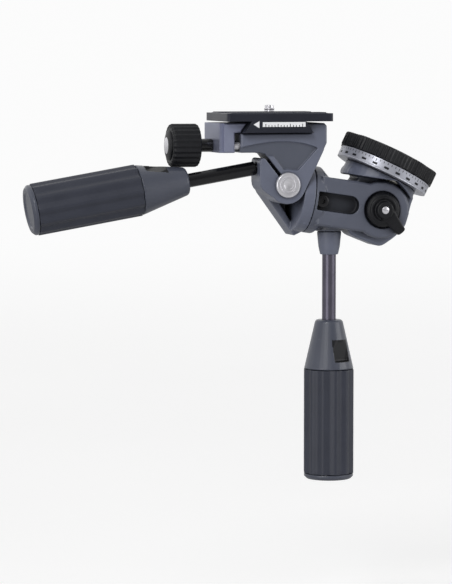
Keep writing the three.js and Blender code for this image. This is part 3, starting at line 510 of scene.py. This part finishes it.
def rimMark(marks, index, count, wide, high, low):
    # A printed mark on the ring's rim, bent round it by three flats
    out = scaleRing["rim"]
    thick = scaleRing["printThick"]
    for part in (-1, 0, 1):
        tick = brick((out - thick, out + thick / 2), (-wide / 6, wide / 6), (low, high))
        lean = part * wide / 3 / out
        tick.transform(Matrix.Rotation(2 * pi * index / count + lean, 4, "Z"))
        together(marks, tick)


def makeScaleRing():
    rim = scaleRing["rim"]
    bore = scaleRing["bore"]
    foot = -scaleRing["low"]
    top = -scaleRing["top"]
    cut = scaleRing["groove"]
    profile = [(bore, foot), (rim, foot), (rim, foot + 2 * cut), (rim - cut, foot + 3 * cut),
               (rim, foot + 4 * cut), (rim, top), (bore, top)]
    ring = spun(profile, steps=scaleRing["steps"], edge=scaleRing["edge"])
    standFor("pan_scale_ring", "scaleRingTurned", ring, panPlace)
    # Plain degree ticks along the top of the rim, and plain dashes where a dial has its numbers
    marks = bmesh.new()
    high = scaleRing["markAt"] + scaleRing["markTall"] / 2
    low = scaleRing["markAt"] - scaleRing["markTall"] / 2
    for i in range(scaleRing["marks"]):
        rimMark(marks, i, scaleRing["marks"], scaleRing["markWide"], high, low)
    high = scaleRing["tickTop"]
    for i in range(scaleRing["ticks"]):
        tall = scaleRing["longTall"] if i % scaleRing["every"] == 0 else scaleRing["tickTall"]
        rimMark(marks, i, scaleRing["ticks"], scaleRing["tickWide"], high, high - tall)
    dress(asObject("scaleMarks", marks, panPlace), "pan_scale_ring",
          finish=mouldedNylon)


# Castings and mouldings: the piece's name, the grid of its skin in millimetres, its smoothing passes
skins = {
    "pan_housing": ("housingCast", 0.45, 5), "arm": ("armCast", 0.4, 5),
    "v_bracket": ("bracketCast", 0.4, 5), "platform": ("platformCast", 0.4, 4),
    "lever_knob": ("leverMoulded", 0.25, 4), "lower_handle_core": ("lowerCoreMoulded", 0.4, 5),
    "left_handle_core": ("leftCoreMoulded", 0.4, 5),
}
jaw = {"edge": 0.5}
# Where the pocket in the arm lies, for its painted shade, and where the panel on the platform lies, for its darker
# coat
recess = {"end": -39.9, "start": -13.9, "half": 5.4, "rim": -16.5, "floor": -11.5,
          "panelRim": -18.8, "panelFloor": -17.6, "facing": -0.8}
leverRing = {"inner": 6.5, "outer": 7.7, "face": -20.3, "tall": 0.5}


def makeCastings():
    ring = spun(tube(leverRing["inner"], leverRing["outer"],
                     leverRing["face"] - leverRing["tall"], leverRing["face"] + leverRing["tall"]))
    ring.transform(armPlace @ towardsBack)
    for node, (name, skinMm, passes) in skins.items():
        poured(node, name, skinMm, passes, [ring] if node == "lever_knob" else [])
    arm = bpy.data.objects["armCast"]
    # painted shade: the arm takes the darker, shaded copy of the coat
    arm.data.materials[0] = shadedArmCoat
    # painted shade on the faces inside the arm's pocket
    inlay(arm, shadedPocketCoat, armPlace,
          lambda at, out: recess["end"] < at.x < recess["start"] and abs(at.z) < recess["half"]
          and recess["rim"] < at.y < recess["floor"])
    inlay(bpy.data.objects["platformCast"], recessCoat, levelPlace,
          lambda at, out: recess["panelRim"] < at.y < recess["panelFloor"] and out.y < recess["facing"])
    milled("clamp_jaw", "jawMilled", jaw["edge"])


# Small hardware of the hinge, the tilt axle and the swivel
hinge = {"head": 7.6, "headTo": 19.7, "edge": 0.6, "washer": 7.6, "washerSeat": 15.1, "washerThick": 0.9,
         "washerEdge": 0.2, "shaft": 4, "shaftFrom": -19.9, "shaftEdge": 0.5}
leverScrew = {"radius": 2.1, "tip": -23.8, "root": -21.2, "dome": 0.5, "crown": 1.26, "crownDrop": 0.15,
              "slotWide": 0.7, "slotDeep": 0.6}
pocketScrew = {"at": -35.8, "head": 3.5, "seat": -12.3, "headTall": 3.2, "shaft": 1.5, "tip": -5.7,
               "socket": 1.7, "socketDeep": 1.7, "edge": 0.35}


def makeHinge():
    place = armPlace @ towardsBack
    seat = hinge["washerSeat"]
    washerTop = seat + hinge["washerThick"]
    head = prism(hinge["head"], 6, washerTop, hinge["headTo"], hinge["edge"])
    washer = spun(tube(0, hinge["washer"], seat, washerTop), edge=hinge["washerEdge"])
    shaft = spun(tube(0, hinge["shaft"], hinge["shaftFrom"], seat), steps=shaftSteps,
                 edge=hinge["shaftEdge"])
    standFor("hinge_bolt", "hingeBoltHex", together(head, washer, shaft), place)

    r = leverScrew["radius"]
    tip = leverScrew["tip"]
    half = leverScrew["slotWide"] / 2
    screw = [(0, tip), (leverScrew["crown"], tip + leverScrew["crownDrop"]),
             (r, tip + leverScrew["dome"]), (r, leverScrew["root"]), (0, leverScrew["root"])]
    slot = brick((-r * 2, r * 2), (-half, half), (tip - cutBeyond, tip + leverScrew["slotDeep"]))
    standFor("lever_screw", "leverScrewSlotted", spun(screw, steps=shaftSteps), place, cut=slot)

    seat = pocketScrew["seat"]
    top = seat - pocketScrew["headTall"]
    screw = [(0, top), (pocketScrew["head"], top), (pocketScrew["head"], seat),
             (pocketScrew["shaft"], seat), (pocketScrew["shaft"], pocketScrew["tip"]),
             (0, pocketScrew["tip"])]
    socket = prism(pocketScrew["socket"], 6, top - cutBeyond, top + pocketScrew["socketDeep"])
    place = armPlace @ Matrix.Translation((pocketScrew["at"], 0, 0)) @ towardsBack
    standFor("pocket_screw", "pocketScrewSocket",
             spun(screw, steps=shaftSteps, edge=pocketScrew["edge"]), place, cut=socket)


tilt = {
    "cap": 7.2, "capFront": -22.1, "capBack": -20.1, "capBevel": 0.6, "capEdge": 0.15,
    "ring": 4.4, "ringWide": 0.5, "ringDeep": 0.4, "dimple": 2.6, "dimpleDeep": 0.5,
    "nut": 7, "nutFrom": 18.1, "nutTo": 21.7, "nutEdge": 0.6, "nutBore": 4.15, "boreSteps": 48,
    "collar": 5.6, "collarTall": 1.0, "collarSink": 0.5, "collarEdge": 0.3,
}


def makeTilt():
    place = axlePlace @ towardsBack
    cap = tilt["cap"]
    front = tilt["capFront"]
    bevel = tilt["capBevel"]
    inner = tilt["ring"] - tilt["ringWide"] / 2
    outer = tilt["ring"] + tilt["ringWide"] / 2
    profile = [
        (0, front + tilt["dimpleDeep"]), (tilt["dimple"], front + tilt["dimpleDeep"]),
        (tilt["dimple"], front),
        (inner, front), (inner, front + tilt["ringDeep"]), (outer, front + tilt["ringDeep"]),
        (outer, front), (cap - bevel, front), (cap, front + bevel),
        (cap, tilt["capBack"]), (0, tilt["capBack"]),
    ]
    standFor("tilt_cap", "tiltCapTurned", spun(profile, edge=tilt["capEdge"]), place)
    bore = tilt["nutBore"]
    top = tilt["nutTo"] - tilt["collarTall"]
    nut = prism(tilt["nut"], 6, tilt["nutFrom"], top, tilt["nutEdge"])
    drill = prism(bore, tilt["boreSteps"], tilt["nutFrom"] - cutBeyond, tilt["nutTo"] + cutBeyond)
    standFor("tilt_nut", "tiltNutHex", nut, place, cut=drill)
    collar = spun(tube(bore, tilt["collar"], top - tilt["collarSink"], tilt["nutTo"]),
                  steps=shaftSteps, edge=tilt["collarEdge"])
    dress(asObject("tiltNutCollar", collar, place), "tilt_nut")


# Clamp screw and knob: Z runs to the right along the screw
knob = {
    "right": -48.2, "left": -64.7, "rim": 12.4, "bore": 10.55, "steps": 240, "corner": 1.6,
    "cornerSteps": 4, "cornerAngle": 60, "ribs": 24, "ribDeep": 0.7, "ribFrom": 11.2,
    "core": 10.4, "coreBore": 3.95, "coreFace": -48.5, "boreFloor": -56.75, "coreEdge": 0.3,
    "cap": 8.6, "capFace": -65.0, "capTall": 1.8, "capSteps": 8, "badge": 5.4,
    "shaft": 3.8, "shaftFrom": -56.45, "shaftTo": -39.8, "shaftEdge": 0.12, "neck": 0.6,
    "thread": 3.0, "threadDeep": 0.55, "threadPitch": 1.25, "threadFrom": -38.8, "tip": 4.4,
}


def makeKnob():
    ribbed = spun(tube(knob["bore"], knob["rim"], knob["left"], knob["right"]), steps=knob["steps"])
    soften(ribbed, knob["corner"], knob["cornerSteps"], knob["cornerAngle"], knob["ribFrom"])
    wave(ribbed, knob["ribDeep"], knob["ribs"], knob["ribFrom"])
    standFor("clamp_knob_grip", "knobGripRibbed", ribbed, knobPlace, finish=knobRubber)

    core = [(0, knob["left"]), (knob["core"], knob["left"]), (knob["core"], knob["coreFace"]),
            (knob["coreBore"], knob["coreFace"]), (knob["coreBore"], knob["boreFloor"]),
            (0, knob["boreFloor"])]
    standFor("clamp_knob_core", "knobCoreMoulded", spun(core, edge=knob["coreEdge"]), knobPlace)

    face = knob["capFace"]
    dome = [(0, face), (knob["cap"], face)]
    for i in range(1, knob["capSteps"]):
        turn = pi / 2 * i / knob["capSteps"]
        dome.append((knob["cap"] * cos(turn), face - knob["capTall"] * sin(turn)))
    dome.append((0, face - knob["capTall"]))
    cap = standFor("clamp_knob_cap", "knobCapDomed", spun(dome), knobPlace)
    inlay(cap, mouldedNylon, knobPlace, lambda at, out: hypot(at.x, at.y) > knob["badge"])

    r = knob["thread"]
    foot = knob["shaftTo"]
    thread = teeth(r, knob["threadDeep"], knob["threadPitch"], knob["threadFrom"], knob["tip"])
    screw = [(0, knob["shaftFrom"]), (knob["shaft"], knob["shaftFrom"]), (knob["shaft"], foot),
             (r, foot), (r, foot + knob["neck"])] + thread + [(0, thread[-1][1])]
    standFor("clamp_screw", "clampScrewThreaded",
             spun(screw, steps=shaftSteps, edge=knob["shaftEdge"]), knobPlace)


# Quick plate, its pads and the camera screw
plate = {
    "edge": 0.45, "padRibs": 9, "ribDeep": 0.4, "ribFrom": 0.18, "ribShare": 0.64, "padEdge": 0.15,
    "screwAt": -5.4, "head": 8, "headFoot": 30.1, "headTop": 33.1, "slotWide": 1.2, "slotDeep": 1.5,
    "thread": 3.1, "threadDeep": 0.5, "threadPitch": 1.27, "threadFrom": 36.2,
    "neck": 0.6, "runOut": 0.3, "tip": 45.6, "screwEdge": 0.1,
}


def makePad(node, name):
    low, high = (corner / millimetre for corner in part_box(node))
    span = (high.y - low.y) / plate["padRibs"]
    deep = plate["ribDeep"]
    shape = brick((low.x, high.x), (low.y, high.y), (low.z, high.z - deep), plate["padEdge"])
    for i in range(plate["padRibs"]):
        start = low.y + (i + plate["ribFrom"]) * span
        rib = brick((low.x + span / 2, high.x - span / 2), (start, start + span * plate["ribShare"]),
                    (high.z - 2 * deep, high.z), plate["padEdge"])
        together(shape, rib)
    standFor(node, name, shape, Matrix.Scale(millimetre, 4))


def makePlate():
    milled("quick_plate", "plateMilled", plate["edge"])
    makePad("plate_pad_front", "padFrontRibbed")
    makePad("plate_pad_rear", "padRearRibbed")
    r = plate["thread"]
    start = plate["threadFrom"]
    foot = plate["headFoot"]
    half = plate["slotWide"] / 2
    thread = teeth(r, plate["threadDeep"], plate["threadPitch"], start, plate["tip"] - plate["neck"])
    screw = [(0, foot), (plate["head"], foot), (plate["head"], plate["headTop"]), (r, plate["headTop"]),
             (r, start - plate["neck"])] + thread
    screw += [(r - plate["threadDeep"], plate["tip"] - plate["runOut"]), (0, plate["tip"])]
    coinSlot = brick((-half, half), (-plate["head"] * 2, plate["head"] * 2),
                     (foot - cutBeyond, foot + plate["slotDeep"]))
    place = levelPlace @ Matrix.Translation((plate["screwAt"], 0, 0))
    standFor("camera_screw", "cameraScrewThreaded",
             spun(screw, steps=shaftSteps, edge=plate["screwEdge"]), place, cut=coinSlot)


# A plain white scale on the plate's front, with dark ticks and a pointer
printStrip = {
    "from": -16.3, "to": 9.0, "foot": 33.3, "top": 36.0, "front": -25.05, "thick": 0.1, "proud": 0.04,
    "ticks": 13, "every": 4, "wide": 0.4, "long": 1.7, "short": 1.0, "pointer": 2.3, "pointerAt": -19.4,
}


def makeStrip():
    front = printStrip["front"]
    half = printStrip["thick"] / 2
    back = front + printStrip["thick"]
    foot = printStrip["foot"]
    white = brick((printStrip["from"], printStrip["to"]), (front, back), (foot, printStrip["top"]))
    pointer = prism(printStrip["pointer"], 3, -half, half)
    middle = Vector((printStrip["pointerAt"], front + half, (foot + printStrip["top"]) / 2))
    pointer.transform(Matrix.Translation(middle) @ towardsBack @ Matrix.Rotation(pi / 2, 4, "Z"))
    dress(asObject("stripPrinted", together(white, pointer), levelPlace), "quick_plate",
          finish=whitePrint)
    ticks = bmesh.new()
    step = (printStrip["to"] - printStrip["from"]) / (printStrip["ticks"] + 1)
    half = printStrip["wide"] / 2
    for i in range(printStrip["ticks"]):
        x = printStrip["from"] + step * (i + 1)
        tall = printStrip["long"] if i % printStrip["every"] == 0 else printStrip["short"]
        tick = brick((x - half, x + half), (front - printStrip["proud"], back), (foot, foot + tall))
        together(ticks, tick)
    dress(asObject("stripTicks", ticks, levelPlace), "quick_plate",
          finish=mouldedNylon)


# Handles: each runs down -Z of its place
grip = {
    "rod": 4, "rodIn": 26, "rodEdge": 0.12, "thread": 3, "threadDeep": 0.5, "threadPitch": 1.0,
    "threadFree": 0.8, "neck": 0.5, "taper": 28.6, "length": 93, "radius": 14.8, "bore": 12.3,
    "flutes": 12, "fluteDeep": 1.2, "rimThick": 1, "steps": 240, "cuts": 24, "ends": 0.3, "endAngle": 60,
    "capThick": 3, "capInset": 0.5, "capBevel": 1.5, "capDish": 0.6, "capDishRadius": 9.5,
    "capEdge": 0.3,
}
thumb = {"near": 7.6, "half": 5.4, "top": 11.3, "foot": 24.2}  # where the nose is coloured black, over its thumb recess
lower = {
    "start": 68.3, "shoulder": 21.367, "threadTop": -9.7, "thumbAngle": 293, "collar": 6.6,
    "collarTop": 16.9, "collarLong": 13.4, "collarFlare": 0.4, "collarFoot": 5.2, "collarBore": 4.15,
    "collarEdge": 0.35,
}
left = {"start": 55.7, "shoulder": 15.425, "threadTop": 8, "thumbAngle": 195}


def makeHandle(side, place, sizes, rodFinish=None):
    start = sizes["start"]
    end = start + grip["length"]
    capTop = end - grip["capThick"]
    rodEnd = start + grip["rodIn"]
    shoulder = -sizes["shoulder"]
    thread = teeth(grip["thread"], grip["threadDeep"], grip["threadPitch"],
                   shoulder + grip["threadFree"], sizes["threadTop"])
    rod = [(0, -rodEnd), (grip["rod"], -rodEnd), (grip["rod"], shoulder), (grip["thread"], shoulder),
           (grip["thread"], shoulder + grip["neck"])] + thread + [(0, thread[-1][1])]
    standFor(f"{side}_handle_rod", f"{side}RodTurned", spun(rod, steps=shaftSteps, edge=grip["rodEdge"]),
             place, finish=rodFinish)

    # The sleeve stops short of nose and cap, so a fine joint shows
    sleeve = spun(tube(grip["bore"], grip["radius"], -capTop + grip["ends"],
                       -start - grip["taper"] - grip["ends"]), steps=grip["steps"])
    bmesh.ops.subdivide_edges(sleeve, edges=[e for e in sleeve.edges if e.calc_length() > grip["taper"]],
                              cuts=grip["cuts"], use_grid_fill=True)
    wave(sleeve, grip["fluteDeep"], grip["flutes"], grip["radius"] - grip["rimThick"])
    soften(sleeve, grip["ends"], angle=grip["endAngle"])
    standFor(f"{side}_handle_sleeve", f"{side}SleeveFluted", sleeve, place)

    turned = place @ Matrix.Rotation(radians(sizes["thumbAngle"]), 4, "Z")
    inlay(bpy.data.objects[f"{side}CoreMoulded"], mouldedNylon, turned,
          lambda at, out: at.x > thumb["near"] and abs(at.y) < thumb["half"]
          and thumb["top"] < -at.z - start < thumb["foot"])

    rim = grip["radius"] - grip["capInset"]
    dish = grip["capDish"]
    cap = [(0, -end + dish), (grip["capDishRadius"], -end + dish), (grip["capDishRadius"] + dish, -end),
           (rim - grip["capBevel"], -end), (rim, -end + grip["capBevel"]), (rim, -capTop), (0, -capTop)]
    standFor(f"{side}_handle_cap", f"{side}CapMoulded", spun(cap, edge=grip["capEdge"]), place,
             finish=gripAbs)


def makeHandles():
    makeHandle("lower", lowerPlace, lower, gunSteel)
    makeHandle("left", leftPlace, left)
    top = -lower["collarTop"]
    foot = top - lower["collarLong"]
    r = lower["collar"]
    flare = lower["collarFlare"]
    profile = [
        (lower["collarBore"], foot), (lower["collarFoot"], foot),
        (r - flare, foot + lower["collarLong"] / 3), (r + flare, top - 3 * flare), (r + flare, top),
        (lower["collarBore"], top),
    ]
    standFor("lower_handle_collar", "collarTurned", spun(profile, edge=lower["collarEdge"]), lowerPlace)


makeBase()
makeLockRing()
makeScaleRing()
print("pan bearing made")
makeCastings()
print("castings made")
makeHinge()
makeTilt()
makeKnob()
makePlate()
makeStrip()
makeHandles()
print("hardware and handles made")

# Studio: pale floor below the head, even sky light, one soft key and two gentle panels
studio = {
    "distance": 1.68, "azimuth": -16, "elevation": 2.3, "lens": 179.2,
    "aimX": -36.8, "aimY": -21.0, "aimZ": -60.4,
    "floorDrop": 0.10, "floorSize": 30, "floorGlow": 0.44, "floorFade": (0.8, 4.0),
    "sky": "#ffffff", "skyLevel": 0.42, "skySeen": 0.97, "roomLevel": 0.25, "roomFade": (-0.9, 0.3),
    "keyLevel": 1.15, "keySoft": 20, "keyTilt": (56, 0, -34),
    "panelLevel": 4.0, "panelSize": 0.7, "panels": [(-1.0, -0.8, -0.12), (0.9, -0.6, 0.2)],
}
floorPaper = {
    "dark": "#d2d2d2", "light": "#dadada", "patchMm": 400, "rough": (0.8, 0.9),
    "grainMm": 2.0, "grainDeepMm": 0.01,
}


def makeFloor():
    shape = bmesh.new()
    bmesh.ops.create_grid(shape, x_segments=1, y_segments=1, size=studio["floorSize"] / 2)
    depth = cadBox[0][2] - studio["floorDrop"]
    floor = asObject("paleFloor", shape, Matrix.Translation((0, 0, depth)))
    paper = surfaceOf("paleFloorPaper", floorPaper)
    tree = paper.node_tree
    shader = tree.nodes["Principled BSDF"]
    seen = addNode(tree, "ShaderNodeLightPath").outputs["Is Camera Ray"]
    lift = addNode(tree, "ShaderNodeMath", {"operation": "MULTIPLY", 1: studio["floorGlow"]}, {0: seen})
    shader.inputs["Emission Color"].default_value = linear(studio["sky"])
    tree.links.new(lift.outputs[0], shader.inputs["Emission Strength"])
    # Far from the head the paper runs out into the sky, so no horizon shows
    near, far = studio["floorFade"]
    where = addNode(tree, "ShaderNodeTexCoord").outputs["Object"]
    away = addNode(tree, "ShaderNodeVectorMath", {"operation": "LENGTH"}, {0: where}).outputs["Value"]
    fade = addNode(tree, "ShaderNodeMapRange",
                   {"interpolation_type": "SMOOTHSTEP", "From Min": near, "From Max": far},
                   {"Value": away})
    share = addNode(tree, "ShaderNodeMath", {"operation": "MULTIPLY"},
                    {0: fade.outputs["Result"], 1: seen})
    haze = addNode(tree, "ShaderNodeEmission",
                   {"Color": linear(studio["sky"]), "Strength": studio["skySeen"]})
    blend = addNode(tree, "ShaderNodeMixShader", {},
                    {0: share.outputs[0], 1: shader.outputs["BSDF"], 2: haze.outputs["Emission"]})
    tree.links.new(blend.outputs["Shader"], tree.nodes["Material Output"].inputs["Surface"])
    floor.data.materials.append(paper)


def makeWorld():
    world = bpy.data.worlds.new("evenSky")
    world.use_nodes = True
    tree = world.node_tree
    path = addNode(tree, "ShaderNodeLightPath").outputs
    seen = addNode(tree, "ShaderNodeMath", {"operation": "MAXIMUM"},
                   {0: path["Is Camera Ray"], 1: path["Is Transmission Ray"]}).outputs[0]
    level = addNode(tree, "ShaderNodeMapRange",
                    {"To Min": studio["skyLevel"], "To Max": studio["skySeen"]}, {"Value": seen})
    # Mirrored, the sky is as bright as it looks, but the room behind the camera is dim
    back, front = studio["roomFade"]
    where = addNode(tree, "ShaderNodeTexCoord").outputs["Generated"]
    mirrored = addNode(tree, "ShaderNodeMapRange",
                       {"From Min": back, "From Max": front,
                        "To Min": studio["roomLevel"], "To Max": studio["skySeen"]},
                       {"Value": addNode(tree, "ShaderNodeSeparateXYZ", {}, {0: where}).outputs["Y"]})
    both = addNode(tree, "ShaderNodeMix", {"data_type": "FLOAT"},
                   {0: path["Is Glossy Ray"], 2: level.outputs["Result"], 3: mirrored.outputs["Result"]})
    sky = tree.nodes["Background"]
    sky.inputs["Color"].default_value = linear(studio["sky"])
    tree.links.new(both.outputs[0], sky.inputs["Strength"])
    bpy.context.scene.world = world


def placed(name, data, where, aim=None, turn=None):
    thing = bpy.data.objects.new(name, data)
    thing.location = where
    thing.rotation_euler = turn or (Vector(aim) - Vector(where)).to_track_quat("-Z", "Y").to_euler()
    bpy.context.scene.collection.objects.link(thing)
    return thing


def makeStudio():
    scene = bpy.context.scene
    scene.view_settings.view_transform = "Standard"
    makeFloor()
    makeWorld()
    centre = spot("platform_tilt")
    key = bpy.data.lights.new("softKey", "SUN")
    key.energy = studio["keyLevel"]
    key.angle = radians(studio["keySoft"])
    placed("softKey", key, (0, 0, 1), turn=[radians(a) for a in studio["keyTilt"]])
    for i, where in enumerate(studio["panels"]):
        panel = bpy.data.lights.new(f"panel{i}", "AREA")
        panel.energy = studio["panelLevel"]
        panel.size = studio["panelSize"]
        placed(f"panel{i}", panel, where, aim=centre)
    a = radians(studio["azimuth"])
    e = radians(studio["elevation"])
    towards = Vector((sin(a) * cos(e), -cos(a) * cos(e), sin(e)))
    target = centre + Vector((studio["aimX"], studio["aimY"], studio["aimZ"])) * millimetre
    lens = bpy.data.cameras.new("photoCamera")
    lens.lens = studio["lens"]
    scene.camera = placed("photoCamera", lens, centre + towards * studio["distance"], aim=target)


makeStudio()
print("studio made")
